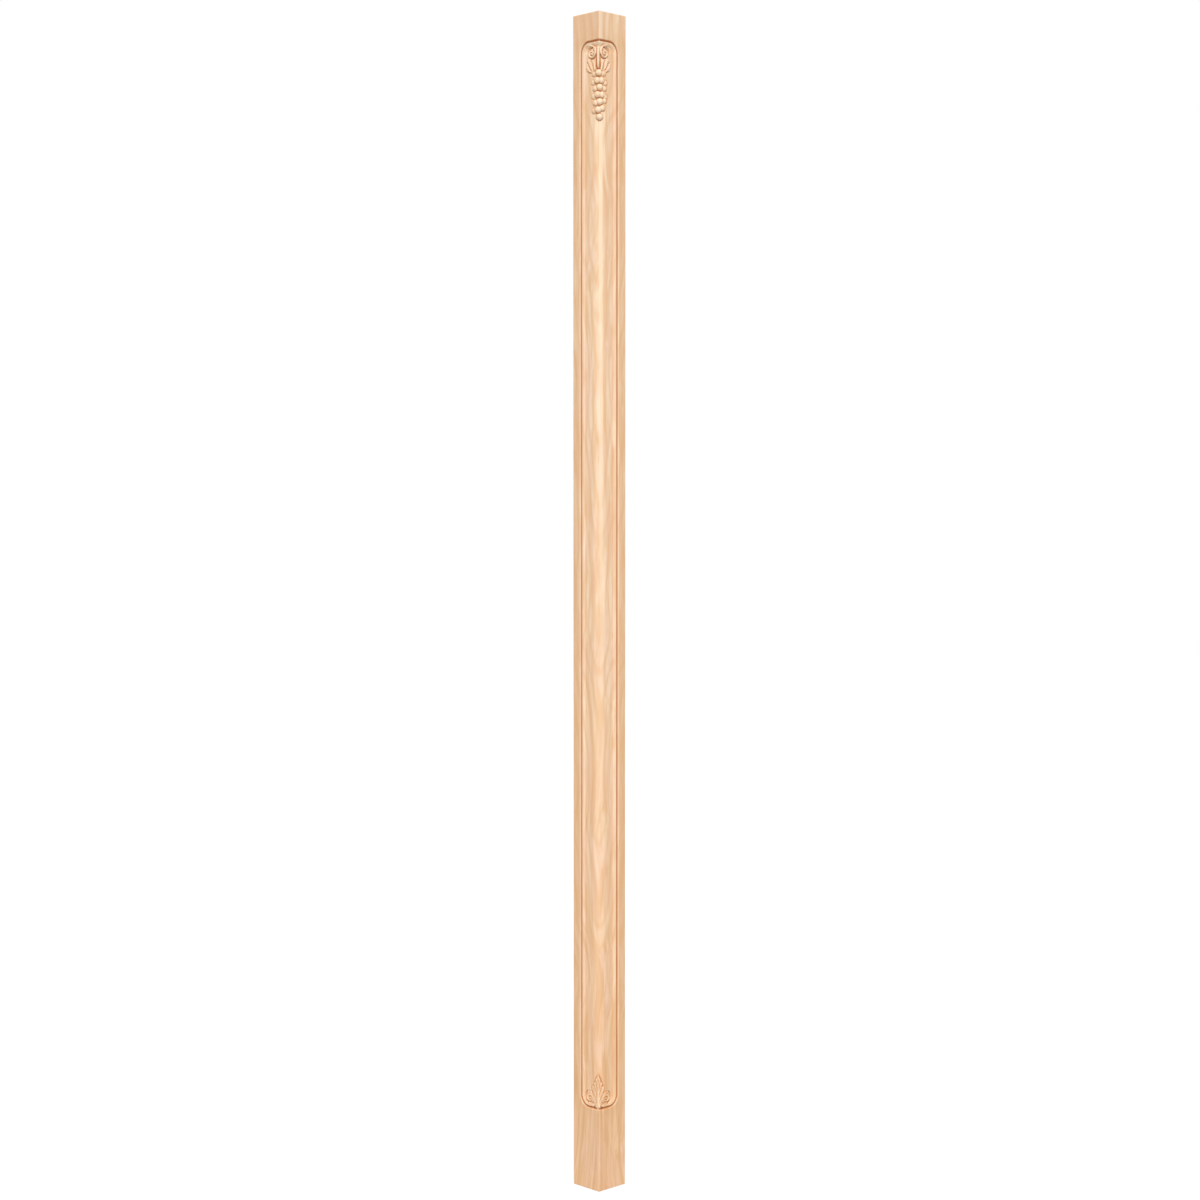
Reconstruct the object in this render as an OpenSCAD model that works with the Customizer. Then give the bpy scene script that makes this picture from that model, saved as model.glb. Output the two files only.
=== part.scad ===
// A tall square newel post with one carved corner: plain blocks at its head and foot, and between them a
// sunk panel that wraps round the corner, with a bunch of grapes at its top and an acanthus leaf below.
// Millimetres, +Z up, origin at the middle of the foot. The carved corner is the arris at +X, -Y.

/* [Post] */
// Width of each face
post_w = 77; // [72:0.5:90]
// Height over all
post_h = 2438.4; // [1200:0.1:3000]
// Flat taken off each plain arris
arris_ease = 1; // [0.5:0.1:2]

/* [Panel] */
// Height of the plain block at the foot, up to the middle of the quirk
foot_h = 174; // [120:1:300]
// Height of the plain block at the head, down to the middle of the quirk
head_h = 58.7; // [40:0.1:150]
// Distance of the upright quirks from the carved corner, to their middle
quirk_in = 53; // [50:0.5:56]
// Width of the quirk
quirk_w = 6; // [3:0.1:6.5]
// Depth of the quirk
quirk_d = 4.2; // [2.5:0.1:5]
// Radius of the panel's turned corners, to the middle of the quirk
turn_r = 22; // [20:0.5:27]
// Width of the bead that stands between the quirk and the slope
bead_w = 2.6; // [1.5:0.1:4]
// Width of the slope from the bead down to the sunk field
slope_w = 6; // [4.5:0.5:9]
// Depth of the sunk field below the faces
sunk = 3; // [2:0.1:4]
// Radius that the sunk field turns round the corner with
round_r = 19; // [16:0.5:21]
// Height of the scoop where that round runs out into each end of the panel
run_out = 24; // [16:1:30]

/* [Carving] */
// Distance that the carving's centre line sits from the corner, towards the -Y face
carving_off = 2; // [0:0.5:3]
// Depth of the carving's highest parts below the faces
skin = 0.4; // [0.2:0.1:1]
// Length of the stem that the bunch hangs from
stem_l = 37; // [30:1:45]
// Thickness of the stem
stem_d = 5; // [4:0.5:6]
// Radius of the scrolls beside the stem, to the middle of the bar
scroll_r = 9.5; // [7:0.5:11]
// Thickness of the scrolls' bar
scroll_d = 5; // [4:0.5:6]
// Length of the longest lobe in the spray under each scroll
lobe_l = 17; // [12:0.5:20]
// Diameter of the grapes
grape_d = 15; // [12:0.5:16]
// Height from one row of grapes to the next
grape_pitch = 14.9; // [12:0.1:16]
// Height of the acanthus leaf above the foot quirk
leaf_h = 70; // [55:1:90]
// Width of the acanthus leaf
leaf_w = 34; // [28:1:38]
// Radius of the volutes at the leaf's foot, to the middle of the bar
volute_r = 4.5; // [3.5:0.5:6]
// Thickness of the volutes' bar
volute_d = 4; // [3:0.5:5]
// Distance from the head quirk down to the top of the stem
stem_down = 13; // [11:0.5:16]
// Distance from the head quirk down to the middle of the scrolls
scroll_down = 23; // [21:0.5:25]
// Distance from the head quirk down to the first row of grapes
bunch_down = 65.5; // [62:0.5:75]
// Distance from the foot quirk up to the middle of the volutes
volute_up = 19; // [17:0.5:22]

/* [Hidden] */
$fn = 48;

// Angles round the corner of the grapes in each row from the top one down, in degrees, plus to the +X face.
GRAPE_ROWS = [
    [-26, 0, 26],
    [-29, -2, 19],
    [-20, 4, 30],
    [-26, -2, 21],
    [-16, 5],
    [-23, 2, 20],
    [4],
];

// Half of the acanthus outline, up from its foot, as [share of the half width, share of the height].
LEAF_OUTLINE = [
    [0.22, -0.06], [0.30, 0.06], [0.62, 0.10], [1.05, 0.16], [1.25, 0.30], [1.12, 0.44], [0.86, 0.42],
    [0.98, 0.54], [0.80, 0.64], [0.52, 0.60], [0.60, 0.70], [0.46, 0.80], [0.26, 0.90], [0.00, 1.00],
];

panel_lo = foot_h;
panel_hi = post_h - head_h;
half_w = post_w / 2;
eps = 0.02;
over = 6;
slope_in = quirk_w / 2 + bead_w;
field_in = slope_in + slope_w;
field_t = quirk_in - field_in;
round_c = sunk + round_r;
off_angle = asin(carving_off / round_r);
slope_steps = 6;
knob = 0.5;

// The curled bars: how far round they go, where each starts, and how far in from the corner it sits.
curl = 270;
scroll_from = 60;
scroll_in = 22;
volute_from = -80;
volute_in = 26;

// The stem, how deep it lies in the round, and the stalk at the foot of the leaf.
stem_out = round_r + 1.5;
stalk_l = 14;

// The leaf spray: its foot above the first row of grapes, the room that a leaning lobe keeps inside the
// faces, and how each lobe stands from the one before.
spray_up = 7;
lobes = 3;
lobe_d = 6;
lobe_room = 5;
lobe_angle = 14;
lobe_step = 10;
lobe_lean = 6;
lobe_fan = 14;
lobe_less = 3;

grape_r = grape_d / 2;
grape_out = round_r - 1.5;

// The acanthus leaf: its blade's radius about the round's axis, its midrib and its side ribs.
blade_r = round_c - sunk / 2;
blade_steps = 12;
rib_d = 3.8;
rib_sunk = 0.8;
midrib_foot = 4;
midrib_l = 0.84 * leaf_h;
side_rib_d = 3;
side_rib_l = 0.2 * leaf_h;
side_rib_foot = 0.14 * leaf_h;
side_rib_step = 0.18 * leaf_h;
side_rib_angle = 5;
side_rib_lean = 26;

// Draws its children on the +X face, where x runs away from the carved corner, y up and z out of the face,
// and again on the -Y face as their mirror image.
module both_faces() {
    translate([half_w, -half_w, 0]) rotate([90, 0, 90]) children();
    mirror([1, 1, 0]) translate([half_w, -half_w, 0]) rotate([90, 0, 90]) children();
}

// Draws its children out from the field's round, where x runs out, y along the round and z up.
module on_round(angle, height, out) {
    translate([half_w - round_c, round_c - half_w, height])
        rotate([0, 0, angle - off_angle - 45]) translate([out, 0, 0]) children();
}

// Draws its children on one face, a distance in from the corner and sunk so that their thickness d just
// reaches the skin: the +X face for side 1, and its mirror image on the -Y face for side -1.
module on_face(side, inwards, height, d) {
    mirror([1 - side, 1 - side, 0]) translate([half_w, -half_w, 0]) rotate([90, 0, 90])
        translate([inwards - side * carving_off, height, -skin - d / 2]) children();
}

// How far out from the field's centre a ball of radius r may sit at an angle and stay inside the faces.
function seat(angle, r, out) = min(out, (round_c - skin - r) / cos(45 - abs(angle - off_angle)));

module stock() {
    linear_extrude(post_h) polygon([
        [half_w, -half_w], [half_w, half_w - arris_ease], [half_w - arris_ease, half_w],
        [arris_ease - half_w, half_w], [-half_w, half_w - arris_ease], [-half_w, -half_w + arris_ease],
        [arris_ease - half_w, -half_w],
    ]);
}

// What the cutter takes along the panel's edge: the quirk, then the slope beyond the bead. x runs from the
// middle of the quirk to the field, y out of the face.
module edge_profile() {
    floor_r = quirk_w / 2;
    translate([0, floor_r - quirk_d]) circle(floor_r);
    translate([-floor_r, floor_r - quirk_d]) square([quirk_w, quirk_d - floor_r + over]);
    polygon(concat(
        [[field_in + eps, over], [slope_in, over]],
        [for (i = [0:slope_steps]) let (f = i / slope_steps)
            [slope_in + slope_w * f, -sunk * (1 - cos(180 * f)) / 2]],
        [[field_in + eps, -sunk]]
    ));
}

module turned_edge(height, flip) {
    translate([quirk_in - turn_r, height, 0]) mirror([0, flip, 0])
        rotate_extrude(angle = 90) translate([turn_r, 0]) mirror([1, 0, 0]) edge_profile();
}

module straight_edges() {
    translate([quirk_in, panel_lo + turn_r, 0]) rotate([-90, 0, 0])
        linear_extrude(panel_hi - panel_lo - 2 * turn_r) mirror([0, 1, 0]) mirror([1, 0, 0]) edge_profile();
    for (end = [[panel_lo, 0], [panel_hi, 1]])
        translate([quirk_in - turn_r, end[0], 0]) mirror([0, end[1], 0]) rotate([0, -90, 0])
            linear_extrude(quirk_in - turn_r + over) rotate([0, 0, 90]) mirror([0, 1, 0]) edge_profile();
}

// The flat sunk field of one face.
module field_cut() {
    lo = panel_lo + field_in;
    hi = panel_hi - field_in;
    r = turn_r - field_in;
    translate([0, 0, -sunk]) linear_extrude(sunk + over) {
        translate([-over, lo]) square([field_t - r + over, hi - lo]);
        translate([-over, lo + r]) square([field_t + over, hi - lo - 2 * r]);
        for (y = [lo + r, hi - r]) translate([field_t - r, y]) circle(r);
    }
}

module panel_cut() {
    both_faces() {
        straight_edges();
        turned_edge(panel_lo + turn_r, 1);
        turned_edge(panel_hi - turn_r, 0);
        field_cut();
    }
}

// Rounds the sunk field's corner, and scoops the round out to nothing at both ends of the panel.
module round_cut() {
    lo = panel_lo + field_in + run_out;
    hi = panel_hi - field_in - run_out;
    depth = round_r / sqrt(2) + eps;
    scoop_r = (run_out * run_out + depth * depth) / (2 * depth);
    tip = (half_w - sunk) * sqrt(2);
    difference() {
        translate([half_w - round_c, -half_w - over, lo - run_out])
            cube([round_c + over, round_c + over, hi - lo + 2 * run_out]);
        translate([half_w - round_c, round_c - half_w, lo - run_out - 1])
            cylinder(r = round_r, h = hi - lo + 2 * run_out + 2);
        rotate([0, 0, -45]) for (end = [[lo, 1], [hi, 0]])
            translate([0, 0, end[0]]) mirror([0, 0, end[1]]) difference() {
                translate([0, -post_w, 0]) cube([tip + over, 2 * post_w, run_out + over]);
                translate([tip - depth + scoop_r, 0, 0]) rotate([90, 0, 0])
                    cylinder(r = scoop_r, h = 3 * post_w, center = true);
            }
    }
}

// A round-ended bar standing up from a point, leaning over to one side.
module bar(length, d, lean) {
    rotate([lean, 0, 0]) {
        cylinder(d = d, h = length);
        sphere(d = d);
        translate([0, 0, length]) sphere(d = d);
    }
}

// A bar bent to an arc in the xy plane, from one angle on through another, with a small knob at each end.
module bent_bar(r, d, from, through) {
    rotate([0, 0, from]) rotate_extrude(angle = through) translate([r, 0]) circle(d = d);
    for (a = [from, from + through]) rotate([0, 0, a]) translate([r, 0, 0]) sphere(d = d + 2 * knob);
}

// The stem, the C-scroll to each side of it, and under each a spray of leaf lobes.
module vine() {
    on_round(0, panel_hi - stem_down - stem_l, stem_out) bar(stem_l, stem_d, 0);
    for (side = [-1, 1]) {
        on_face(side, scroll_in, panel_hi - scroll_down, scroll_d + 2 * knob)
            bent_bar(scroll_r, scroll_d, scroll_from, curl);
        for (i = [0:lobes - 1]) {
            angle = side * (lobe_angle + lobe_step * i);
            on_round(angle, panel_hi - bunch_down + spray_up + i, seat(angle, lobe_room, round_r))
                bar(lobe_l - lobe_less * i, lobe_d, -side * (lobe_lean + lobe_fan * i));
        }
    }
}

module grapes() {
    for (row = [0:len(GRAPE_ROWS) - 1])
        for (angle = GRAPE_ROWS[row])
            on_round(angle, panel_hi - bunch_down - row * grape_pitch, seat(angle, grape_r, grape_out))
                sphere(grape_r);
}

// The acanthus leaf: a lobed blade cut from the stock, its midrib and side ribs, and a volute to each side.
module acanthus() {
    blade = [for (p = LEAF_OUTLINE) [p[0] * leaf_w / 2, p[1] * leaf_h]];
    blade_back = [for (i = [len(blade) - 2:-1:0]) [-blade[i][0], blade[i][1]]];
    intersection() {
        on_round(0, panel_lo, 0) rotate([90, 0, 90]) linear_extrude(post_w)
            polygon(concat(blade, blade_back));
        translate([half_w - round_c, round_c - half_w, panel_lo - over])
            linear_extrude(leaf_h + 2 * over) polygon(concat([[-round_c, -blade_r], [-round_c, round_c]],
                [[blade_r, round_c]], [for (i = [0:blade_steps]) let (a = -90 * i / blade_steps)
                    blade_r * [cos(a), sin(a)]]));
    }
    on_round(0, panel_lo + midrib_foot, blade_r - rib_sunk) bar(midrib_l, rib_d, 0);
    on_round(0, panel_lo, seat(0, stem_d / 2, 2 * round_c)) bar(stalk_l, stem_d, 0);
    for (side = [-1, 1]) {
        for (rib = [1:2]) {
            rib_z = panel_lo + side_rib_foot + side_rib_step * rib;
            on_round(side * side_rib_angle, rib_z, blade_r - rib_sunk)
                bar(side_rib_l, side_rib_d, -side * side_rib_lean);
        }
        on_face(side, volute_in, panel_lo + volute_up, volute_d + 2 * knob)
            bent_bar(volute_r, volute_d, volute_from, curl);
    }
}

module post() {
    color("burlywood") {
        difference() {
            stock();
            panel_cut();
            round_cut();
        }
        vine();
        grapes();
        acanthus();
    }
}

post();
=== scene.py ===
"""Looks of a slim square newel post of bare pale wood with one carved corner.

The post is one piece. Its mesh is a ring of columns round the post, swept up in rows. On the two faces beside
the carved corner the columns are raised or cut to the mouldings, the C-scrolls, the leaf sprays, the bunch of
grapes and the acanthus leaf. Sizes are in millimetres and become metres when the mesh is made.
"""

import logging
import math
from collections.abc import Mapping, Sequence
from dataclasses import dataclass, field
from enum import Enum

import bpy
import numpy as np
from numpy.typing import NDArray
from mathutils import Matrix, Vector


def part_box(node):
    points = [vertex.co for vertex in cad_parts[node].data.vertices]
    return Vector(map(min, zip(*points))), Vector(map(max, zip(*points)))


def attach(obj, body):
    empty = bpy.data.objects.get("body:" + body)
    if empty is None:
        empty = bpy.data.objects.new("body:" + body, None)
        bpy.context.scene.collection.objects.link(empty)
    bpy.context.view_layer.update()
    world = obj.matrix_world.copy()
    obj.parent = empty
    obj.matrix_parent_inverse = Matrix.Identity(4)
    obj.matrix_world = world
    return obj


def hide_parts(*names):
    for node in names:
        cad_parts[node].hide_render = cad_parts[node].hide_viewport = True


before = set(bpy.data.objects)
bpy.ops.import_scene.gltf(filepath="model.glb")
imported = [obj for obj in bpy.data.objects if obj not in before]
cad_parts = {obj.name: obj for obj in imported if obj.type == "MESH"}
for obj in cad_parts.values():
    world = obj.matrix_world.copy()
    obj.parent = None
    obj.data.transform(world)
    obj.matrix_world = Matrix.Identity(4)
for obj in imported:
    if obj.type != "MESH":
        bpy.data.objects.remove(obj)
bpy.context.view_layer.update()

Colour = tuple[float, float, float]
Point = tuple[float, float]
Grid = NDArray[np.float64]

MM = 0.001
SKIN = 0.4  # How far the highest carving stays under the two faces.
PLAIN_SHARE = 0.3  # How far the plain blocks and the faces behind have the planed faces' darker tone.
log = logging.getLogger("newel_post")


def srgb(red: int, green: int, blue: int) -> Colour:
    """A colour given as it shows on a screen, 0 to 255, as linear light.

    Args:
        red: Red as it shows.
        green: Green as it shows.
        blue: Blue as it shows.

    Returns:
        The three shares of linear light, 0 to 1.
    """
    shares = (value / 255 for value in (red, green, blue))
    return tuple(v / 12.92 if v <= 0.04045 else ((v + 0.055) / 1.055) ** 2.4 for v in shares)


def ease(x: Grid) -> Grid:
    """A soft step from 0 to 1 as x goes from 0 to 1."""
    x = np.clip(x, 0, 1)
    return x * x * (3 - 2 * x)


def turn(centre: Point, radii: Sequence[float], angles: Sequence[float], tall: float = 1.0, side: int = 1,
         steps: int = 24) -> list[Point]:
    """Points along an arc or a spiral.

    Args:
        centre: The middle of the arc.
        radii: Its first and last radius, between which the radius shrinks or grows evenly in ratio.
        angles: Its first and last angle in degrees, from the outer side and up.
        tall: How much taller than wide it is.
        side: 1 where the outer side is to the right, -1 where it is to the left.
        steps: How many stretches it has.

    Returns:
        The points, from the first angle to the last.
    """
    share = np.linspace(0, 1, steps + 1)
    radius = radii[0] * (radii[1] / radii[0]) ** share
    angle = np.radians(angles[0] + (angles[1] - angles[0]) * share)
    x, y = centre
    return [(x + side * r * math.cos(a), y + tall * r * math.sin(a)) for r, a in zip(radius, angle)]


class Value:
    """A shader value that adds Math nodes when it is used in an expression."""

    def __init__(self, shader: "Shader", socket: bpy.types.NodeSocket) -> None:
        """Wraps one output socket of a shader."""
        self.shader = shader
        self.socket = socket

    def _math(self, operation: str, first: "Value | float", second: "Value | float") -> "Value":
        """Adds one Math node.

        Args:
            operation: The Math node's operation.
            first: Its first value.
            second: Its second value.

        Returns:
            The node's result.
        """
        return self.shader.add("ShaderNodeMath", {"operation": operation}, {0: first, 1: second})

    def __add__(self, other: "Value | float") -> "Value":
        """self + other."""
        return self._math("ADD", self, other)

    __radd__ = __add__

    def __mul__(self, other: "Value | float") -> "Value":
        """self * other."""
        return self._math("MULTIPLY", self, other)

    __rmul__ = __mul__

    def __sub__(self, other: "Value | float") -> "Value":
        """self - other."""
        return self._math("SUBTRACT", self, other)

    def __rsub__(self, other: "Value | float") -> "Value":
        """other - self."""
        return self._math("SUBTRACT", other, self)

    def __truediv__(self, other: "Value | float") -> "Value":
        """self / other."""
        return self._math("DIVIDE", self, other)

    def __pow__(self, other: "Value | float") -> "Value":
        """self to the power of other."""
        return self._math("POWER", self, other)

    def wave(self) -> "Value":
        """The sine of this value."""
        return self._math("SINE", self, 0.0)

    def band(self, low: float, high: float) -> "Value":
        """A soft step from 0 at low to 1 at high.

        Args:
            low: Where the step begins.
            high: Where it ends.

        Returns:
            The step, held between 0 and 1.
        """
        settings = {"interpolation_type": "SMOOTHSTEP"}
        sockets = {"Value": self, "From Min": low, "From Max": high}
        return self.shader.add("ShaderNodeMapRange", settings, sockets)


class Shader:
    """The node tree of one material or of the world, with one method that adds any node."""

    def __init__(self, owner: bpy.types.Material | bpy.types.World) -> None:
        """Empties the owner's node tree."""
        owner.use_nodes = True
        self.tree = owner.node_tree
        self.tree.nodes.clear()

    def add(self, kind: str, settings: Mapping[str, object] | None = None,
            sockets: Mapping[str | int, object] | None = None, output: str | int = 0) -> Value:
        """Adds a node.

        Args:
            kind: The node's type.
            settings: Its properties, set first.
            sockets: Its inputs by name or number: a number, a colour, a vector, or a Value to link.
            output: Which output is returned.

        Returns:
            That output, or the node's first input where it has no output.
        """
        node = self.tree.nodes.new(kind)
        for name, setting in (settings or {}).items():
            setattr(node, name, setting)
        for name, value in (sockets or {}).items():
            if isinstance(value, Value):
                self.tree.links.new(value.socket, node.inputs[name])
            else:
                node.inputs[name].default_value = value
        return Value(self, node.outputs[output] if node.outputs else node.inputs[0])

    def mix(self, factor: Value | float, first: Value | Colour, second: Value | Colour) -> Value:
        """Mixes two colours.

        Args:
            factor: The second colour's share.
            first: The colour at factor 0.
            second: The colour at factor 1.

        Returns:
            The mixed colour.
        """
        first, second = (c if isinstance(c, Value) else (*c, 1.0) for c in (first, second))
        return self.add("ShaderNodeMix", {"data_type": "RGBA"}, {0: factor, 6: first, 7: second}, 2)

    def stretched(self, place: Value, scale: tuple[float, float, float]) -> Value:
        """A place multiplied by its own scale along each axis."""
        return self.add("ShaderNodeVectorMath", {"operation": "MULTIPLY"}, {0: place, 1: scale})

    def noise(self, place: Value, scale: tuple[float, float, float], detail: float = 2.0,
              distortion: float = 0.0) -> Value:
        """Soft noise that can be drawn out along an axis.

        Args:
            place: Where it is read.
            scale: How many of its lumps there are to the metre along X, Y and Z.
            detail: How many finer layers it has.
            distortion: How far its lumps are pulled about.

        Returns:
            The noise, about 0.5 and seldom under 0.2 or over 0.8.
        """
        stretched = self.stretched(place, scale)
        sockets = {"Vector": stretched, "Scale": 1.0, "Detail": detail, "Distortion": distortion}
        return self.add("ShaderNodeTexNoise", {}, sockets)


@dataclass(frozen=True)
class BareWood:
    """Bare pale hardwood, planed and sanded, with straight grain along the post.

    The vertex attributes "hollow", "crown", "planed" and "sawn" say where the surface lies in a cut, stands
    proud, is one of the planed faces, or is a sawn end. The colour is darkened in the cuts and the quirk as
    painted shade, and lightened where the carving stands proud as painted highlight.
    """

    pale: Colour = srgb(254, 228, 198)
    tan: Colour = srgb(237, 194, 150)
    rosy: Colour = srgb(248, 214, 188)
    warm: Colour = srgb(236, 188, 140)
    deep: Colour = srgb(216, 163, 112)
    blush: Colour = srgb(240, 196, 160)
    late: Colour = srgb(232, 184, 134)
    planed: Colour = srgb(222, 176, 124)
    # Painted shade: the dark orange-brown that the cuts and the quirk are darkened to; also the colour of the
    # open pores.
    hollow: Colour = srgb(196, 118, 50)
    # Painted highlight on the carving's proud parts; also the colour of the pale sapwood stripe.
    crown: Colour = srgb(255, 234, 204)
    end_grain: Colour = srgb(214, 168, 122)
    pith: tuple[float, float] = (-0.145, 0.118)
    ring_gap: float = 0.012
    ring_lean: float = 0.05
    grain_wander: tuple[float, float, float] = (0.09, 0.09, 0.0)
    roughness: float = 0.56

    def build(self) -> bpy.types.Material:
        """Makes the material.

        Returns:
            The finished material.
        """
        material = bpy.data.materials.new("bare_wood")
        shader = Shader(material)
        place = shader.add("ShaderNodeTexCoord", {}, {}, "Object")
        fibre = shader.noise(place, (1150, 1150, 9), 3)
        leant = self._leant(shader, place)
        line = shader.noise(leant, (330, 330, 3.4), 4, 0.3)
        streak = shader.noise(leant, (105, 105, 2.2), 3, 0.2)
        fleck = shader.noise(place, (190, 190, 22), 2)
        cloud = shader.noise(leant, (30, 30, 7.5), 2, 0.5)
        blush = shader.noise(place, (38, 38, 9), 2, 0.4)
        height = shader.add("ShaderNodeSeparateXYZ", {}, {0: place}, "Z")
        low = 1 - height.band(0.0, 1.5)
        light = shader.mix(low * 0.55, self.pale, self.warm)
        dark = shader.mix(low * 0.75, self.tan, self.deep)
        colour = shader.mix(streak.band(0.36, 0.64) * 0.8, light, dark)
        colour = shader.mix(cloud.band(0.44, 0.6) * 0.5, colour, self.rosy)
        colour = shader.mix(blush.band(0.5, 0.68) * 0.6, colour, self.blush)
        colour = shader.mix(self._rings(shader, place) * 0.45, colour, self.late)
        colour = shader.mix(line.band(0.5, 0.72) * 0.55, colour, dark)
        colour = shader.mix(fleck.band(0.56, 0.72) * 0.4, colour, self.warm)
        colour = shader.mix(self._carved(shader, "planed") * 0.4, colour, self.planed)
        colour = shader.mix(self._sapwood(shader, place) * 0.7, colour, self.crown)
        pores = fibre.band(0.6, 0.74)
        colour = shader.mix(pores * 0.25, colour, self.hollow)
        colour = shader.mix(self._end(shader) * 0.7, colour, self.end_grain)
        # Painted highlight where the carving stands proud, from the crown mask.
        colour = shader.mix(self._carved(shader, "crown") * 0.35, colour, self.crown)
        # Painted shade in the cuts and the quirk, from the hollow mask.
        colour = shader.mix(self._carved(shader, "hollow"), colour, self.hollow)
        relief = fibre * 0.5 + line * 0.3 - pores * 0.6
        bump = shader.add("ShaderNodeBump", {}, {"Strength": 0.25, "Distance": 0.0003, "Height": relief})
        rough = self.roughness + (line - 0.5) * 0.2 + pores * 0.1
        surface = shader.add("ShaderNodeBsdfPrincipled", {}, {
            "Base Color": colour, "Roughness": rough, "Normal": bump, "Specular IOR Level": 0.3,
        })
        shader.add("ShaderNodeOutputMaterial", {}, {"Surface": surface})
        return material

    def _leant(self, shader: Shader, place: Value) -> Value:
        """The place with the grain's slow wander in it, so that its lines lean now this way, now that."""
        wander = shader.add("ShaderNodeTexNoise", {}, {
            "Vector": shader.stretched(place, (5, 5, 3.2)), "Scale": 1.0, "Detail": 1.0}, "Color")
        moved = shader.stretched(wander, self.grain_wander)
        return shader.add("ShaderNodeVectorMath", {"operation": "ADD"}, {0: place, 1: moved})

    def _rings(self, shader: Shader, place: Value) -> Value:
        """The year rings, as soft dark lines where they reach the surface.

        Args:
            shader: The shader that they are added to.
            place: Where they are read.

        Returns:
            0 between the rings and 1 on a ring's late wood.
        """
        x, y, z = (shader.add("ShaderNodeSeparateXYZ", {}, {0: place}, axis) for axis in "XYZ")
        bend = (shader.noise(place, (4.0, 4.0, 3.0), 1) - 0.5) * 0.13
        across = x - self.pith[0] + z * self.ring_lean + bend
        along = y - self.pith[1] - z * self.ring_lean
        radius = (across * across + along * along) ** 0.5
        wobble = shader.noise(place, (60, 60, 1.2), 2) * 2.5
        return ((radius * (2 * math.pi / self.ring_gap) + wobble).wave() * 0.5 + 0.5) ** 3.0

    def _sapwood(self, shader: Shader, place: Value) -> Value:
        """The pale stripe of sapwood that runs up the +X face beside the carved arris and fades below.

        Args:
            shader: The shader that it is added to.
            place: Where it is read.

        Returns:
            1 in the stripe and 0 elsewhere.
        """
        x, y, z = (shader.add("ShaderNodeSeparateXYZ", {}, {0: place}, axis) for axis in "XYZ")
        across = x + y + (shader.noise(place, (8, 8, 1.2), 1) - 0.5) * 0.01
        stripe = across.band(-0.001, 0.002) * (1 - across.band(0.009, 0.013))
        return stripe * (x - y).band(0.04, 0.06) * z.band(0.6, 2.2)

    def _end(self, shader: Shader) -> Value:
        """1 on the sawn ends, whose surface faces up or down, and 0 elsewhere."""
        normal = shader.add("ShaderNodeNewGeometry", {}, {}, "True Normal")
        upright = shader.add("ShaderNodeSeparateXYZ", {}, {0: normal}, "Z")
        flat = shader.add("ShaderNodeMath", {"operation": "ABSOLUTE"}, {0: upright})
        return flat.band(0.85, 0.98) * self._carved(shader, "sawn")

    def _carved(self, shader: Shader, name: str) -> Value:
        """One of the mesh's own masks."""
        return shader.add("ShaderNodeAttribute", {"attribute_name": name}, {}, "Fac")


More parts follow.
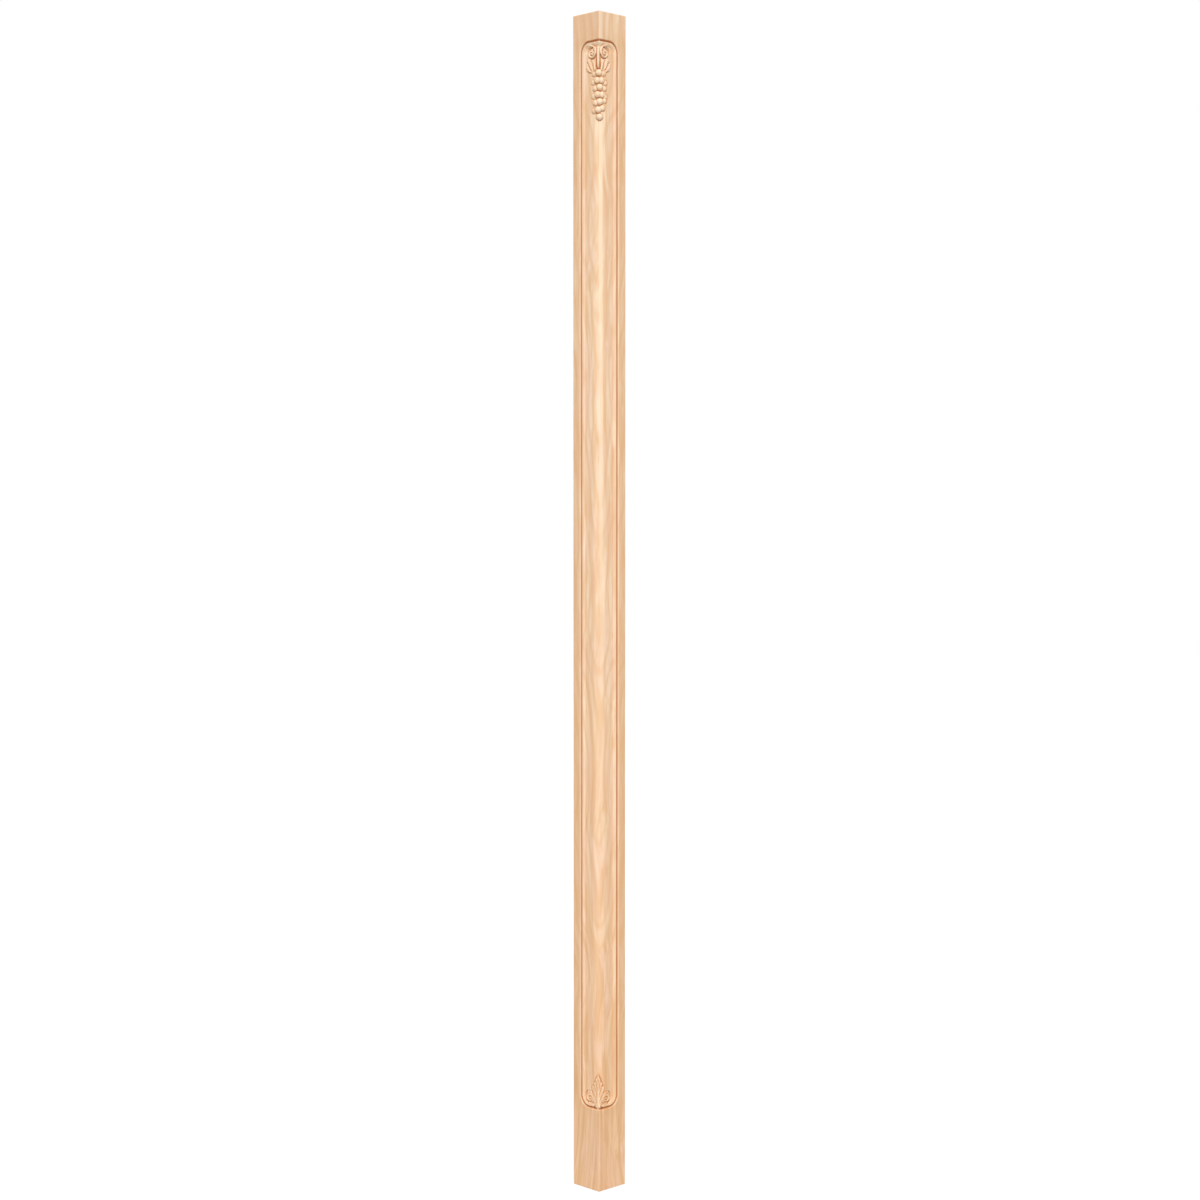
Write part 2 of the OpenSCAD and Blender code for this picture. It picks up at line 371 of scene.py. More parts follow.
@dataclass
class Section:
    """The post's cross-section as a ring of columns.

    A front column starts on the sunk field, which turns the carved corner in a round, and moves out along the
    field's own normal. The lands and the two plain faces behind have columns that don't move.
    """

    width: float
    sunk: float = 3.0
    round_r: float = 19.0
    arris_r: float = 1.2
    carved_arris_r: float = 0.6
    step: float = 0.56
    fine_to: float = 56.5
    seen_share: float = 0.7
    run: Grid = field(init=False)
    base: Grid = field(init=False)
    out: Grid = field(init=False)

    def __post_init__(self) -> None:
        """Lays out the front columns, from the far end of the -Y face to the far end of the +X face."""
        fine = np.arange(0, self.along(self.fine_to), self.step)
        land = [self.along(t) for t in (58.5, 66, self.width - self.arris_r - 0.7, self.width - self.arris_r)]
        half_run = np.concatenate([[0], fine[1:] - self.step / 2 + 0.1, land])
        self.run = np.concatenate([-half_run[:0:-1], half_run])
        angle = self.angle
        diagonal = np.array([1, -1]) / math.sqrt(2)
        sideways = np.array([1, 1]) / math.sqrt(2)
        self.out = np.outer(np.cos(angle), diagonal) + np.outer(np.sin(angle), sideways)
        half = self.width / 2
        axis = np.array([half - self.axis_in, self.axis_in - half])
        self.base = axis + self.round_r * self.out
        beyond = np.abs(self.run) - self.quarter
        for side, direction in ((1, (0, 1)), (-1, (-1, 0))):
            flat = (self.run * side > self.quarter)
            self.base[flat] += np.outer(beyond[flat], direction)

    @property
    def axis_in(self) -> float:
        """Distance of the round's axis from both faces."""
        return self.sunk + self.round_r

    @property
    def quarter(self) -> float:
        """Length of the round from the corner to where the field turns flat."""
        return self.round_r * math.pi / 4

    @property
    def angle(self) -> Grid:
        """How far round the corner each front column stands, held at 45 degrees on the flats."""
        return np.clip(self.run / self.round_r, -math.pi / 4, math.pi / 4)

    @property
    def inwards(self) -> Grid:
        """Distance of each front column from the carved corner, along its face."""
        flat = self.axis_in + np.abs(self.run) - self.quarter
        return np.where(flat > self.axis_in, flat, np.abs(self.run) / self.quarter * self.axis_in)

    @property
    def sideways(self) -> Grid:
        """Where each front column's carving shows when the post is seen corner-on, + to the right.

        The carving is taken to stand a fixed share of the way out to where it has to stop.
        """
        raised = self.seen_share * self.reach(SKIN)
        flat = (self.inwards - self.sunk + raised) / math.sqrt(2)
        turned = (self.round_r + raised) * np.sin(np.abs(self.angle))
        return np.sign(self.run) * np.where(np.abs(self.run) > self.quarter, flat, turned)

    def along(self, inwards: float) -> float:
        """The run of a column that stands a distance in from the corner, on the flat."""
        return self.quarter + inwards - self.axis_in

    def reach(self, depth: Grid | float, arris_r: float | None = None) -> Grid:
        """How far out from the field each front column meets a surface that lies a depth under the faces.

        Args:
            depth: The depth, one for all or one for each column.
            arris_r: Radius that the surface turns the corner with, if not the carved arris's own.

        Returns:
            The distance for each column.
        """
        radius = self.carved_arris_r if arris_r is None else arris_r
        turned = (self.axis_in - depth) / np.cos(math.pi / 4 - np.abs(self.angle)) - self.round_r
        centre = math.sqrt(2) * (self.axis_in - radius - depth)
        across = centre * np.sin(np.abs(self.angle))
        ray = centre * np.cos(self.angle) + np.sqrt(np.maximum(radius ** 2 - across ** 2, 0))
        eased = (across < radius) & (ray * np.sin(np.abs(self.angle)) < radius / math.sqrt(2))
        return np.where(eased, np.minimum(ray - self.round_r, turned), turned)

    def rear(self) -> Grid:
        """Points round the plain sides behind, from the +X face on to the -Y face, with rounded arrises."""
        half = self.width / 2
        inner = half - self.arris_r
        points = []
        for corner, start in (((1, 1), 0), ((-1, 1), 90), ((-1, -1), 180)):
            for angle in np.radians(np.linspace(start, start + 90, 4)):
                points.append((corner[0] * inner + self.arris_r * math.cos(angle),
                               corner[1] * inner + self.arris_r * math.sin(angle)))
            if corner != (-1, -1):
                x, y = points[-1]
                step = np.array([-1, 0]) if start == 0 else np.array([0, -1])
                points += [tuple(np.array([x, y]) + step * d) for d in (0.7, inner, 2 * inner - 0.7)]
        return np.array(points[1:-1])


@dataclass
class Sheet:
    """The two carved faces laid out as one sheet of rows and columns, and what is raised or cut on it."""

    section: Section
    rows: Grid
    ground: Grid
    skin: float = SKIN
    carving_r: float = 5.0
    raised: Grid = field(init=False)
    cut: Grid = field(init=False)
    balls: Grid = field(init=False)

    def __post_init__(self) -> None:
        """Starts with nothing raised or cut."""
        self.raised = np.zeros_like(self.ground)
        self.cut = np.zeros_like(self.ground)
        self.balls = np.full_like(self.ground, -np.inf)

    def near(self, path: Sequence[Point], reach: float) -> tuple[slice, Grid, Grid]:
        """Measures the sheet from a path.

        Args:
            path: Points as (sideways, height).
            reach: How far above and below the path it is measured.

        Returns:
            The rows that are near, and for each of their points the distance to the path and the share of the
            path's points at which it is nearest.
        """
        heights = [p[1] for p in path]
        first, last = np.searchsorted(self.rows, [min(heights) - reach, max(heights) + reach])
        rows = slice(first, last)
        s, z = self.section.sideways[None, :], self.rows[rows, None]
        best = np.full((last - first, s.shape[1]), np.inf)
        share = np.zeros_like(best)
        for i, ((s0, z0), (s1, z1)) in enumerate(zip(path, path[1:])):
            length = max((s1 - s0) ** 2 + (z1 - z0) ** 2, 1e-9)
            part = np.clip(((s - s0) * (s1 - s0) + (z - z0) * (z1 - z0)) / length, 0, 1)
            distance = np.hypot(s - s0 - part * (s1 - s0), z - z0 - part * (z1 - z0))
            nearer = distance < best
            best = np.where(nearer, distance, best)
            share = np.where(nearer, (i + part) / (len(path) - 1), share)
        return rows, best, share

    def ridge(self, path: Sequence[Point], widths: Sequence[float], crown: float) -> None:
        """Raises a round-backed ridge.

        Args:
            path: Points as (sideways, height).
            widths: Half widths, spread evenly along the path.
            crown: Height of its back, as a share of the wood that there is above the ground.
        """
        rows, distance, share = self.near(path, max(widths))
        half = np.interp(share, np.linspace(0, 1, len(widths)), widths)
        back = np.sqrt(np.clip(1 - (distance / half) ** 2, 0, None))
        self.raised[rows] = np.maximum(self.raised[rows], crown * back)

    def groove(self, path: Sequence[Point], widths: Sequence[float], depth: float) -> None:
        """Cuts a groove with a round bed.

        Args:
            path: Points as (sideways, height).
            widths: Half widths, spread evenly along the path.
            depth: Depth at its middle.
        """
        rows, distance, share = self.near(path, max(widths))
        half = np.interp(share, np.linspace(0, 1, len(widths)), widths)
        bed = np.clip(1 - (distance / half) ** 2, 0, None)
        self.cut[rows] = np.maximum(self.cut[rows], depth * bed)

    def blade(self, outline: Sequence[Point], level: float, edge: float) -> None:
        """Raises a leaf's blade, which falls off steeply at its outline.

        Args:
            outline: Its corners as (sideways, height).
            level: Its height, as a share of the wood that there is above the ground.
            edge: How far in from the outline it reaches that height.
        """
        closed = [*outline, outline[0]]
        rows, distance, _ = self.near(closed, edge)
        s, z = self.section.sideways[None, :], self.rows[rows, None]
        inside = np.zeros(distance.shape, bool)
        for (s0, z0), (s1, z1) in zip(closed, closed[1:]):
            if z0 != z1:
                inside ^= ((z0 > z) != (z1 > z)) & (s < s0 + (z - z0) * (s1 - s0) / (z1 - z0))
        swell = level * ease(distance / edge) * inside
        self.raised[rows] = np.maximum(self.raised[rows], swell)

    def dome(self, centre: Point, radius: float, crown: float) -> None:
        """Raises a round dome.

        Args:
            centre: Its middle as (sideways, height).
            radius: Its radius where it meets the ground.
            crown: Height of its top, as a share of the wood that there is above the ground.
        """
        self.ridge([centre, centre], (radius,), crown)

    def ball(self, centre: Point, radius: float, proud: float) -> None:
        """Raises a true ball that stands out along the round's own radius and just stays inside the faces.

        Args:
            centre: Where its top shows, as (sideways, height).
            radius: Its radius.
            proud: How far its top may stand out from the field.
        """
        section = self.section
        first, last = np.searchsorted(self.rows, [centre[1] - radius, centre[1] + radius])
        column = np.interp(centre[0], section.sideways, np.arange(len(section.run)))
        angle = np.interp(column, np.arange(len(section.run)), section.angle)
        top = min(proud, np.interp(column, np.arange(len(section.run)), section.reach(self.skin)))
        out = (section.round_r + top - radius) * np.array([math.sin(angle + math.pi / 4),
                                                           -math.cos(angle + math.pi / 4)])
        half = section.width / 2
        offset = np.array([half - section.axis_in, section.axis_in - half]) + out - section.base
        near = np.sum(offset * section.out, axis=1)[None, :]
        far = np.sum(offset ** 2, axis=1)[None, :] + (self.rows[first:last, None] - centre[1]) ** 2
        inside = near * near - far + radius ** 2
        surface = np.where(inside > 0, near + np.sqrt(np.maximum(inside, 0)), -np.inf)
        self.balls[first:last] = np.maximum(self.balls[first:last], surface)

    def finish(self) -> Grid:
        """Adds up the ground and the carving.

        Returns:
            How far out each point of the sheet stands from the field.
        """
        room = np.maximum(self.section.reach(self.skin, self.carving_r)[None, :] - self.ground, 0)
        carved = self.ground + np.clip(self.raised, 0, 1) * room - self.cut
        limit = np.maximum(self.section.reach(self.skin)[None, :], self.ground)
        return np.maximum(carved, np.minimum(self.balls, limit))


@dataclass
class Panel:
    """The sunk panel: a quirk, a bead and a slope round a field that is rounded where it turns the corner."""

    low: float
    high: float
    quirk_in: float = 53.0
    quirk_half: float = 3.0
    quirk_d: float = 4.2
    quirk_wall: float = 1.9
    turn_r: float = 22.0
    bead_w: float = 2.6
    bead_r: float = 1.9
    slope_w: float = 6.0
    head_run: tuple[float, float] = (14.0, 56.0)
    foot_run: tuple[float, float] = (10.0, 44.0)
    ground_r: float = 4.0
    # How steeply the quirk's painted shade rises across it, and how much of it is left at the head and foot.
    quirk_shade_slope: float = 2.0
    end_quirk_shade: float = 0.3
    planed_edge: float = 1.5
    planed_fade: float = 20.0

    def edge(self, section: Section, rows: Grid) -> Grid:
        """Distance of every point inwards from the middle of the quirk, less than 0 outside it."""
        inwards = section.inwards[None, :]
        over = inwards - (self.quirk_in - self.turn_r)
        up = np.maximum(rows[:, None] - self.high, self.low - rows[:, None]) + self.turn_r
        turned = self.turn_r - np.hypot(over, up)
        straight = np.minimum(self.quirk_in - inwards, self.turn_r - up)
        return np.where((over > 0) & (up > 0), turned, straight)

    def quirk_shade(self, section: Section, rows: Grid) -> Grid:
        """How far each point lies into the quirk, 0 to 1, less so at the panel's head and foot. This is the
        quirk's painted shade.

        Args:
            section: The post's cross-section.
            rows: Height of each row.

        Returns:
            The share for every point of the sheet.
        """
        into = ease(self.quirk_shade_slope * (1 - np.abs(self.edge(section, rows)) / self.quirk_half))
        upright = ease(np.minimum(rows - self.low, self.high - rows) / self.turn_r)
        return into * (self.end_quirk_shade + (1 - self.end_quirk_shade) * upright)[:, None]

    def planed(self, section: Section, rows: Grid) -> Grid:
        """How far each point lies on the planed faces, 1 beside the panel and less beyond its ends.

        Args:
            section: The post's cross-section.
            rows: Height of each row.

        Returns:
            The share for every point of the sheet.
        """
        outside = ease(-(self.edge(section, rows) + self.quirk_half) / self.planed_edge)
        beside = ease(1 + np.minimum(rows - self.low, self.high - rows) / self.planed_fade)
        return outside * (PLAIN_SHARE + (1 - PLAIN_SHARE) * beside)[:, None]

    def depth(self, edge: Grid, sunk: float) -> Grid:
        """Depth of the mouldings under the faces.

        Args:
            edge: Distance inwards from the middle of the quirk.
            sunk: Depth of the field.

        Returns:
            The depth at each of those distances.
        """
        quirk = self.quirk_d * ease((self.quirk_half - np.abs(edge)) / self.quirk_wall)
        bead_at = self.quirk_half + self.bead_w / 2
        bead = self.bead_r - np.sqrt(np.clip(self.bead_r ** 2 - (edge - bead_at) ** 2, 0, None))
        bead_edge = self.quirk_half + self.bead_w
        start = self.bead_r - math.sqrt(self.bead_r ** 2 - self.bead_w ** 2 / 4)
        slope = start + (sunk - start) * ease((edge - bead_edge) / self.slope_w)
        inner = np.where(edge < bead_edge, bead, slope)
        return np.where(edge < -self.quirk_half, 0, np.where(edge < self.quirk_half, quirk, inner))

    def ground(self, section: Section, rows: Grid) -> Grid:
        """How far out from the field the mouldings and the field stand.

        Args:
            section: The post's cross-section.
            rows: Height of each row.

        Returns:
            The distance for every point of the sheet.
        """
        edge = self.edge(section, rows)
        depth = self.depth(edge, section.sunk)
        mouldings = np.stack([section.reach(row) for row in depth])
        head = 1 - ease((self.high - rows - self.head_run[0]) / (self.head_run[1] - self.head_run[0]))
        foot = 1 - ease((rows - self.low - self.foot_run[0]) / (self.foot_run[1] - self.foot_run[0]))
        sharp = np.maximum(head, foot)[:, None]
        inside = edge > self.quirk_half + self.bead_w + self.slope_w
        field_up = section.reach(section.sunk, self.ground_r)[None, :] * sharp
        return np.where(inside, field_up, mouldings)


@dataclass
class Vine:
    """The stem, and to each side of it a C-scroll over a leaf spray, hung from the panel's head."""

    head: float
    middle: float = -2.0
    stem: tuple[float, float] = (15.5, 53.0)
    stem_half: tuple[float, ...] = (2.6, 3.0, 2.9, 2.8, 1.4)
    moat_out: float = 5.0
    moat_down: float = 12.0
    moat_d: float = 2.6
    eye_out: float = 14.0
    eye_down: float = 25.4
    scroll_radii: tuple[float, float, float] = (16.5, 7.4, 3.0)
    scroll_half: tuple[float, ...] = (0.8, 2.6, 2.7, 2.0, 1.8, 1.6, 1.5)
    scroll_crown: float = 0.94
    scroll_tall: float = 1.12
    eye_r: float = 2.4
    hollow_radii: Point = (10.2, 11.4)
    hollow_half: tuple[float, ...] = (0.6, 2.6, 3.4, 3.0, 0.9)
    hollow_d: float = 3.2
    under_radii: Point = (9.4, 9.0)
    under_half: tuple[float, ...] = (1.2, 2.3, 2.3, 1.0)
    under_d: float = 2.6
    blade: tuple[Point, ...] = (
        (5, -62), (4.5, -50), (8, -40), (13, -36), (20, -33), (24.5, -37), (26, -46), (27, -54), (24.5, -62),
        (18, -66), (11, -66),
    )
    fingers: tuple[tuple[Point, Point], ...] = (
        ((7, -60), (9.6, -42)), ((14.5, -56), (20.5, -36)), ((16.5, -62), (24.5, -50)),
    )
    clefts: tuple[tuple[Point, Point], ...] = (
        ((10.5, -60), (14.5, -40)), ((14.5, -60), (23.5, -42.5)), ((14, -65), (22, -61)),
    )

    def carve(self, sheet: Sheet) -> None:
        """Carves the stem, the scrolls and the sprays."""
        top, foot = (self.head - d for d in self.stem)
        for side in (-1, 1):
            self._spray(sheet, side)
            self._scroll(sheet, side)
        around = turn((self.middle, foot + 1), (self.moat_out, self.moat_out), (180, 360), steps=12)
        start, end = ((self.middle + side * self.moat_out, top - self.moat_down) for side in (-1, 1))
        sheet.groove([start, *around, end], (1.0, 2.2, 1.0), self.moat_d)
        sheet.ridge([(self.middle, top), (self.middle, foot - 2)], self.stem_half, 1.0)

    def _scroll(self, sheet: Sheet, side: int) -> None:
        """Carves one C-scroll, with the dark hollow inside its back and the cut under it.

        Args:
            sheet: The sheet it is carved on.
            side: 1 for the right one, -1 for the left one.
        """
        centre = self._at(side * self.eye_out, -self.eye_down)
        start, inside, last = self.scroll_radii
        hollow = turn(centre, self.hollow_radii, (4, 108), self.scroll_tall, side, 14)
        sheet.groove(hollow, self.hollow_half, self.hollow_d)
        under = turn(centre, self.under_radii, (200, 290), self.scroll_tall, side, 14)
        sheet.groove(under, self.under_half, self.under_d)
        back = turn(centre, (start, inside), (72, 180), self.scroll_tall, side)
        curl = turn(centre, (inside, last), (180, 590), self.scroll_tall, side, 48)
        sheet.ridge([*back, *curl[1:]], self.scroll_half, self.scroll_crown)
        sheet.dome(centre, self.eye_r, 1.0)

    def _spray(self, sheet: Sheet, side: int) -> None:
        """Carves one leaf with three fingers, which spread up and out from beside the bunch.

        Args:
            sheet: The sheet it is carved on.
            side: 1 for the right one, -1 for the left one.
        """
        sheet.blade([self._at(side * x, y) for x, y in self.blade], 0.5, 3.0)
        for low, high in self.clefts:
            sheet.groove([self._at(side * x, y) for x, y in (low, high)], (1.0, 1.7, 1.9), 1.7)
        for low, high in self.fingers:
            sheet.ridge([self._at(side * x, y) for x, y in (low, high)], (1.2, 2.5, 2.6, 2.2, 0.7), 0.9)

    def _at(self, across: float, up: float) -> Point:
        """A place on the sheet, from the vine's middle line and the panel's head."""
        return (self.middle + across, self.head + up)


@dataclass
class Bunch:
    """The bunch of grapes. Each row gives its grapes as (sideways from the post's corner, how much lower)."""

    top: float
    pitch: float = 14.7
    radius: float = 6.7
    proud: float = 7.2
    moat_w: float = 1.6
    moat_d: float = 1.1
    rows: tuple[tuple[Point, ...], ...] = (
        ((-11.4, 2.4), (-1.0, 0.0), (9.8, 1.6)),
        ((-13.4, 4.6), (-4.6, 0.8), (6.4, 0.8), (14.0, 6.0)),
        ((-9.0, 2.6), (1.4, 0.0), (12.0, 2.6)),
        ((-12.4, 3.6), (-4.0, 0.0), (6.8, 0.6), (14.0, 5.0)),
        ((-8.6, 2.4), (1.8, 0.0), (12.2, -2.0)),
        ((-11.4, 4.0), (-2.6, 1.6), (7.6, -1.6)),
        ((1.0, 1.6),),
    )

    def carve(self, sheet: Sheet) -> None:
        """Cuts the ground in round the bunch a little, and carves the grapes, row by row."""
        for i, row in enumerate(self.rows):
            for sideways, lower in row:
                centre = (sideways, self.top - i * self.pitch - lower)
                sheet.groove([centre, centre], (self.radius + self.moat_w,), self.moat_d)
                sheet.ball(centre, self.radius, self.proud)


@dataclass
class Acanthus:
    """The acanthus leaf that stands at the panel's foot, with a volute to each side of its stalk."""

    foot: float
    middle: float = -2.3
    outline: tuple[Point, ...] = (
        (4.0, -4), (4.4, 4), (9.5, 9), (15, 14), (19, 24), (18.6, 32), (15.5, 35.0), (13.4, 33.0), (15.4, 39),
        (14.4, 44), (11.8, 47.5), (9.8, 46), (9.6, 52), (7.0, 59), (3.4, 66), (0, 71.0),
    )
    eyes: tuple[Point, ...] = ((12.8, 31.0), (9.8, 45.5))
    volute: Point = (17.2, 19.0)
    volute_radii: tuple[float, float] = (7.6, 4.2)
    hollow: tuple[Point, ...] = ((23.4, 33), (26.4, 27), (27.4, 19), (25.2, 12), (19.5, 7.4))

    def carve(self, sheet: Sheet) -> None:
        """Carves the blade, its midrib, veins and eyes, and the two volutes."""
        for side in (-1, 1):
            self._outline_cut(sheet, side)
        right = [(self.middle + x, self.foot + y) for x, y in self.outline]
        left = [(2 * self.middle - s, z) for s, z in right[-2::-1]]
        sheet.blade([*right, *left], 0.55, 2.6)
        for side in (-1, 1):
            self._lobes(sheet, side)
            self._volute(sheet, side)
        sheet.ridge([self._at(0, -6), self._at(0, 64)], (4.2, 3.4, 2.4, 1.4, 0.8), 0.86)

    def _at(self, across: float, up: float) -> Point:
        """A place on the sheet, from the leaf's middle line and the foot of the panel."""
        return (self.middle + across, self.foot + up)

    def _outline_cut(self, sheet: Sheet, side: int) -> None:
        """Cuts the ground down along one side of the blade, so that its edge stands clear."""
        edge = [self._at(side * (x + 0.8), y + 0.4) for x, y in self.outline[5:]]
        sheet.groove(edge, (1.6, 1.6, 2.2), 0.9)
        sheet.groove([self._at(side * 9.5, -1.5), self._at(side * 6.0, 5.0)], (3.2, 1.6), 3.0)

    def _lobes(self, sheet: Sheet, side: int) -> None:
        """Carves the ribs, the veins between them and the eyes of one side.

        Args:
            sheet: The sheet they are carved on.
            side: 1 for the right side, -1 for the left one.
        """
        for low, tip in ((6, (13.5, 27)), (18, (12.2, 40)), (32, (8.0, 52)), (44, (4.2, 61))):
            path = [self._at(side * 1.5, low), self._at(side * (tip[0] * 0.55), (low + tip[1]) * 0.52),
                    self._at(side * tip[0], tip[1])]
            sheet.ridge(path, (1.4, 2.4, 2.6, 1.6), 0.72)
        for low, tip in ((12, (12.0, 32)), (25, (9.5, 45)), (38, (6.0, 56))):
            path = [self._at(side * 2.6, low), self._at(side * (tip[0] * 0.6), (low + tip[1]) * 0.53),
                    self._at(side * tip[0], tip[1])]
            sheet.groove(path, (0.6, 1.2, 1.3), 0.6)
        for x, y in self.eyes:
            sheet.groove([self._at(side * x, y), self._at(side * (x + 1.4), y + 2.0)], (1.5, 1.8), 2.6)

    def _volute(self, sheet: Sheet, side: int) -> None:
        """Carves one volute, which curls out beside the stalk, and the hollow outside it."""
        centre = self._at(side * self.volute[0], self.volute[1])
        hollow = [self._at(side * x, y) for x, y in self.hollow]
        sheet.groove(hollow, (1.2, 2.5, 2.7, 2.2, 1.0), 2.4)
        spiral = turn(centre, self.volute_radii, (225, -190), 1.08, side, 48)
        sheet.ridge(spiral, (2.0, 2.4, 2.2, 1.8, 1.6), 1.0)
        sheet.dome(centre, 2.2, 0.7)


@dataclass
class CarvedPost:
    """The whole post: its rows and columns, its carving and its finish."""

    width: float
    height: float
    head_block: float = 58.7
    foot_block: float = 174.0
    end_ease: float = 0.9
    bunch_down: float = 64.5
    leaf_up: float = 76.0
    leaf_step: float = 0.58
    bunch_end: float = 166.0
    bunch_step: float = 0.64
    vine_end: float = 58.0
    vine_step: float = 0.52
    margin: float = 5.0
    # The rings and drops below set how the painted shade and the painted highlight follow the carving.
    wide_ring: float = 3.2
    wide_shade_drop: float = 2.2
    close_ring: float = 1.3
    close_shade_drop: float = 0.9
    highlight_rise: float = 1.6
    shade_shares: tuple[float, float, float] = (0.55, 0.25, 0.78)
    shade_most: float = 0.92
    sharp: float = 75.0

    def rows(self) -> Grid:
        """Heights of the mesh's rows, close together where there is carving."""
        low, high = self.foot_block, self.height - self.head_block
        foot = np.arange(low - self.margin, low + self.leaf_up, self.leaf_step)
        bunch = np.arange(high - self.bunch_end, high - self.vine_end, self.bunch_step)
        vine = np.arange(high - self.vine_end, high + self.margin, self.vine_step)
        plain = [
            [0.0, self.end_ease / 3, self.end_ease, 2.0], np.linspace(40, low - 12, 4),
            np.linspace(low + 90, high - 180, 32),
            [high + 12, high + 34, self.height - 2.0, self.height - self.end_ease],
            [self.height - self.end_ease / 3, self.height],
        ]
        return np.sort(np.concatenate([foot, bunch, vine, *plain]))

    def build(self) -> bpy.types.Object:
        """Makes the mesh and dresses it.

        Returns:
            The finished post.
        """
        section = Section(self.width)
        rows = self.rows()
        panel = Panel(self.foot_block, self.height - self.head_block)
        sheet = Sheet(section, rows, panel.ground(section, rows))
        # The quirk's painted shade.
        quirk_shade = panel.quirk_shade(section, rows)
        Vine(panel.high).carve(sheet)
        Bunch(panel.high - self.bunch_down).carve(sheet)
        Acanthus(panel.low).carve(sheet)
        out = sheet.finish()
        front = section.base[None] + out[:, :, None] * section.out[None]
        rear = np.broadcast_to(section.rear(), (len(rows), *section.rear().shape))
        rings = np.concatenate([front, rear], axis=1)
        rings = self._eased(rings, rows)
        post = self._mesh(rings, rows)
        self._mask(post, rows, section, out, quirk_shade, panel.planed(section, rows), rings.shape[1])
        post.data.materials.append(BareWood().build())
        return post

    def _eased(self, rings: Grid, rows: Grid) -> Grid:
        """Draws the first and last rows in a little, so that the sawn ends have an eased edge."""
        from_end = np.minimum(rows, self.height - rows)
        slack = np.clip(1 - from_end / self.end_ease, 0, 1)
        inset = self.end_ease * (1 - np.sqrt(1 - slack ** 2))
        return rings * (1 - inset / (self.width / 2))[:, None, None]

    def _mesh(self, rings: Grid, rows: Grid) -> bpy.types.Object:
        """Joins the rings into one closed mesh.

        Args:
            rings: Points of every ring, in rows.
            rows: Height of each ring.

        Returns:
            The post as a Blender object.
        """
        count, around = rings.shape[:2]
        heights = np.broadcast_to(rows[:, None, None], (count, around, 1))
        points = np.concatenate([rings, heights], axis=2).reshape(-1, 3) * MM
        number = np.arange(count * around).reshape(count, around)
        ahead = np.roll(number, -1, axis=1)
        quads = np.stack([number[:-1], ahead[:-1], ahead[1:], number[1:]], axis=-1).reshape(-1, 4)
        faces = [*quads.tolist(), number[0, ::-1].tolist(), number[-1].tolist()]
        mesh = bpy.data.meshes.new("carved_post")
        mesh.from_pydata(points.tolist(), [], faces)
        mesh.shade_smooth()
        mesh.set_sharp_from_angle(angle=math.radians(self.sharp))
        mesh.update()
        post = bpy.data.objects.new("carved_post", mesh)
        bpy.context.scene.collection.objects.link(post)
        return post

    def _mask(self, post: bpy.types.Object, rows: Grid, section: Section, out: Grid, quirk_shade: Grid,
              planed: Grid, around: int) -> None:
        """Writes where the carving is hollow or proud, and where the post is planed or sawn.
        The hollow mask is painted shade and the crown mask is painted highlight.

        Args:
            post: The object that gets the four vertex masks.
            rows: Height of each row.
            section: The post's cross-section.
            out: How far out each point of the front stands.
            quirk_shade: How deep each point lies in the quirk, 0 to 1, which is painted as shade.
            planed: How far each point belongs to the planed faces, 0 to 1.
            around: How many columns a ring has.
        """
        beside, close = (
            np.mean([self._moved(out, rows, section.run, *step) for step in self._ring_of(radius)], axis=0)
            for radius in (self.wide_ring, self.close_ring)
        )
        # Painted shade: darker where a point lies lower than the sheet round it.
        low = np.clip((beside - out) / self.wide_shade_drop, 0, 1)
        tight_shade = np.clip((close - out) / self.close_shade_drop, 0, 1)
        carved = (rows > self.foot_block) & (rows < self.height - self.head_block)
        # Painted highlight: lighter where the carving stands above the sheet round it.
        proud = np.clip((out - beside) / self.highlight_rise, 0, 1) * carved[:, None]
        wide_share, close_share, quirk_shade_share = self.shade_shares
        # All the painted shade, from the cuts and the quirk, held under its most.
        deep = np.clip(wide_share * low + close_share * tight_shade + quirk_shade_share * quirk_shade, 0, self.shade_most)
        ends = (np.minimum(rows, self.height - rows) < self.end_ease)[:, None] * np.ones_like(out)
        # The hollow mask holds painted shade and the crown mask holds painted highlight.
        masks = {"hollow": (deep, 0), "crown": (proud, 0)}
        masks |= {"planed": (planed, PLAIN_SHARE), "sawn": (ends, ends[:, :1])}
        for name, (front, behind) in masks.items():
            full = np.zeros((len(rows), around)) + behind
            full[:, :front.shape[1]] = front
            attribute = post.data.attributes.new(name, "FLOAT", "POINT")
            attribute.data.foreach_set("value", full.astype(np.float32).ravel())

    def _ring_of(self, radius: float) -> list[tuple[float, float]]:
        """Eight steps up and along, in a ring."""
        return [(radius * math.sin(a), radius * math.cos(a)) for a in np.linspace(0, 2 * math.pi, 8, False)]

    def _moved(self, out: Grid, rows: Grid, run: Grid, up: float, along: float) -> Grid:
        """The sheet read a step up and along from each point.

        Args:
            out: What is read.
            rows: Height of each row.
            run: Run of each column.
            up: The step up.
            along: The step along.

        Returns:
            The values read.
        """
        def mixed(values: Grid, at: Grid, step: float) -> Grid:
            """Reads the first axis of values a step further on."""
            place = np.interp(at + step, at, np.arange(len(at)))
            low = np.minimum(place.astype(int), len(at) - 2)
            share = (place - low)[:, None]
            return values[low] * (1 - share) + values[low + 1] * share
        return mixed(mixed(out, rows, up).T, run, along).T


class Aim(Enum):
    """Where the studio's key lamp comes from, as (azimuth, elevation) in degrees."""

    KEY = (47.0, 38.0)


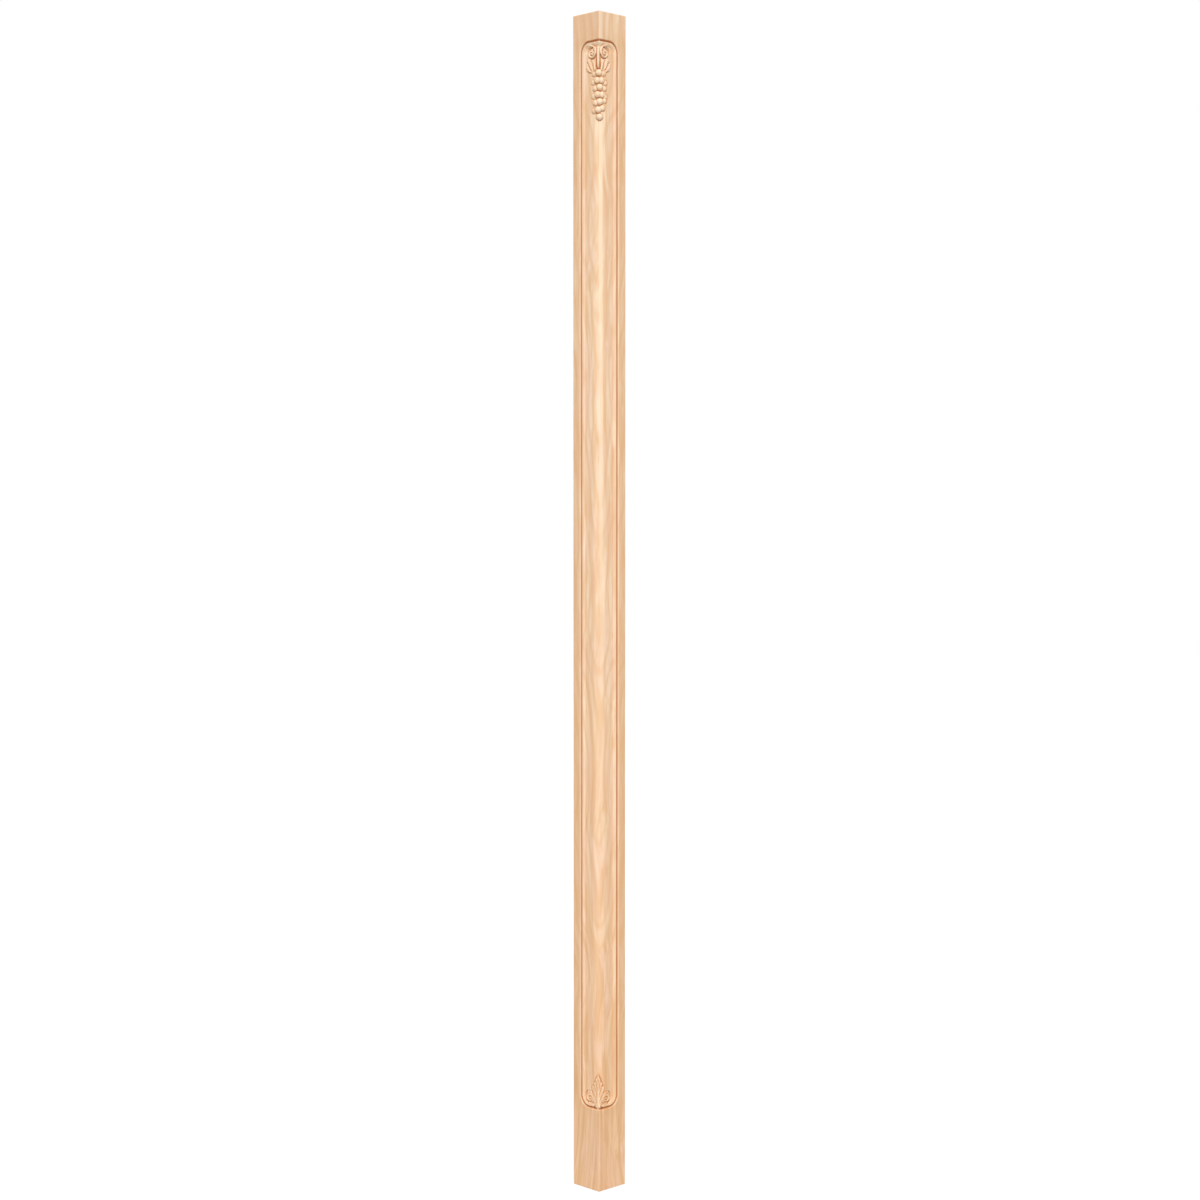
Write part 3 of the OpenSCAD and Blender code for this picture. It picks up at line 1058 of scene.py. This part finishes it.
@dataclass
class Studio:
    """The camera, the soft light and the pale floor."""

    camera_azimuth: float = 45.77
    camera_away: float = 4.4807
    camera_height: float = 1.4394
    camera_pitch: float = -2.62
    lens: float = 64.5
    shift: float = 0.00053
    floor_size: float = 16.0
    key: float = 2.2
    key_angle: float = 24.0
    fill: float = 0.5
    fill_colour: Colour = (1.0, 0.97, 0.93)
    floor_colour: Colour = (0.62, 0.62, 0.63)
    glow: float = 1.3
    glow_share: float = 0.68

    def build(self) -> None:
        """Makes everything in the studio."""
        self._camera()
        self._key_lamp()
        self._world()
        self._floor()

    def _camera(self) -> None:
        """Makes the camera, which sees the post corner-on from a little over chest height."""
        camera = bpy.data.objects.new("camera", bpy.data.cameras.new("camera"))
        camera.data.lens = self.lens
        camera.data.sensor_width = 36.0
        camera.data.shift_x = self.shift
        azimuth = math.radians(self.camera_azimuth)
        camera.location = (self.camera_away * math.sin(azimuth), -self.camera_away * math.cos(azimuth),
                           self.camera_height)
        camera.rotation_euler = (math.radians(90 + self.camera_pitch), 0, azimuth)
        bpy.context.scene.collection.objects.link(camera)
        bpy.context.scene.camera = camera

    def _key_lamp(self) -> None:
        """Makes one broad lamp in front of the carved corner and above it."""
        lamp = bpy.data.objects.new("key", bpy.data.lights.new("key", "SUN"))
        lamp.data.energy = self.key
        lamp.data.angle = math.radians(self.key_angle)
        azimuth, elevation = (math.radians(a) for a in Aim.KEY.value)
        lamp.rotation_euler = (math.pi / 2 - elevation, 0, azimuth)
        bpy.context.scene.collection.objects.link(lamp)

    def _world(self) -> None:
        """Makes an even fill that shows as white to the camera and in reflections."""
        world = bpy.data.worlds.new("studio")
        bpy.context.scene.world = world
        shader = Shader(world)
        seen = self._seen(shader)
        white = shader.add("ShaderNodeBackground", {}, {"Color": (1, 1, 1, 1), "Strength": 1.0})
        even = {"Color": (*self.fill_colour, 1), "Strength": self.fill}
        fill = shader.add("ShaderNodeBackground", {}, even)
        surface = shader.add("ShaderNodeMixShader", {}, {0: seen, 1: fill, 2: white})
        shader.add("ShaderNodeOutputWorld", {}, {"Surface": surface})

    def _seen(self, shader: Shader) -> Value:
        """1 for rays that come from the camera or off a glossy or clear surface, else 0."""
        rays = [shader.add("ShaderNodeLightPath", {}, {}, name)
                for name in ("Is Camera Ray", "Is Glossy Ray", "Is Transmission Ray")]
        return (rays[0] + rays[1] + rays[2]).band(0.0, 1.0)

    def _floor(self) -> bpy.types.Object:
        """Makes the floor, which shows nearly white and keeps the post's soft shadow.

        Returns:
            The floor.
        """
        half = self.floor_size / 2
        mesh = bpy.data.meshes.new("floor")
        corners = [(-half, -half, 0), (half, -half, 0), (half, half, 0), (-half, half, 0)]
        mesh.from_pydata(corners, [], [(0, 1, 2, 3)])
        floor = bpy.data.objects.new("floor", mesh)
        floor.location.z = -0.5 * MM
        bpy.context.scene.collection.objects.link(floor)
        material = bpy.data.materials.new("pale_floor")
        shader = Shader(material)
        matt = shader.add("ShaderNodeBsdfDiffuse", {}, {"Color": (*self.floor_colour, 1)})
        glow = shader.add("ShaderNodeEmission", {}, {"Color": (1, 1, 1, 1), "Strength": self.glow})
        white = self._seen(shader) * self.glow_share
        surface = shader.add("ShaderNodeMixShader", {}, {0: white, 1: matt, 2: glow})
        shader.add("ShaderNodeOutputMaterial", {}, {"Surface": surface})
        floor.data.materials.append(material)
        return floor


def main() -> None:
    """Builds the studio and the post."""
    logging.basicConfig(level=logging.INFO, format="%(name)s: %(message)s")
    bpy.context.scene.view_settings.view_transform = "Standard"
    Studio().build()
    low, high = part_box("post")
    post = CarvedPost((high.x - low.x) / MM, (high.z - low.z) / MM).build()
    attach(post, "root")
    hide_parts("post")
    triangles = sum(len(face.vertices) - 2 for face in post.data.polygons)
    log.info("%s has %d triangles", post.name, triangles)


if __name__ == "__main__":
    main()
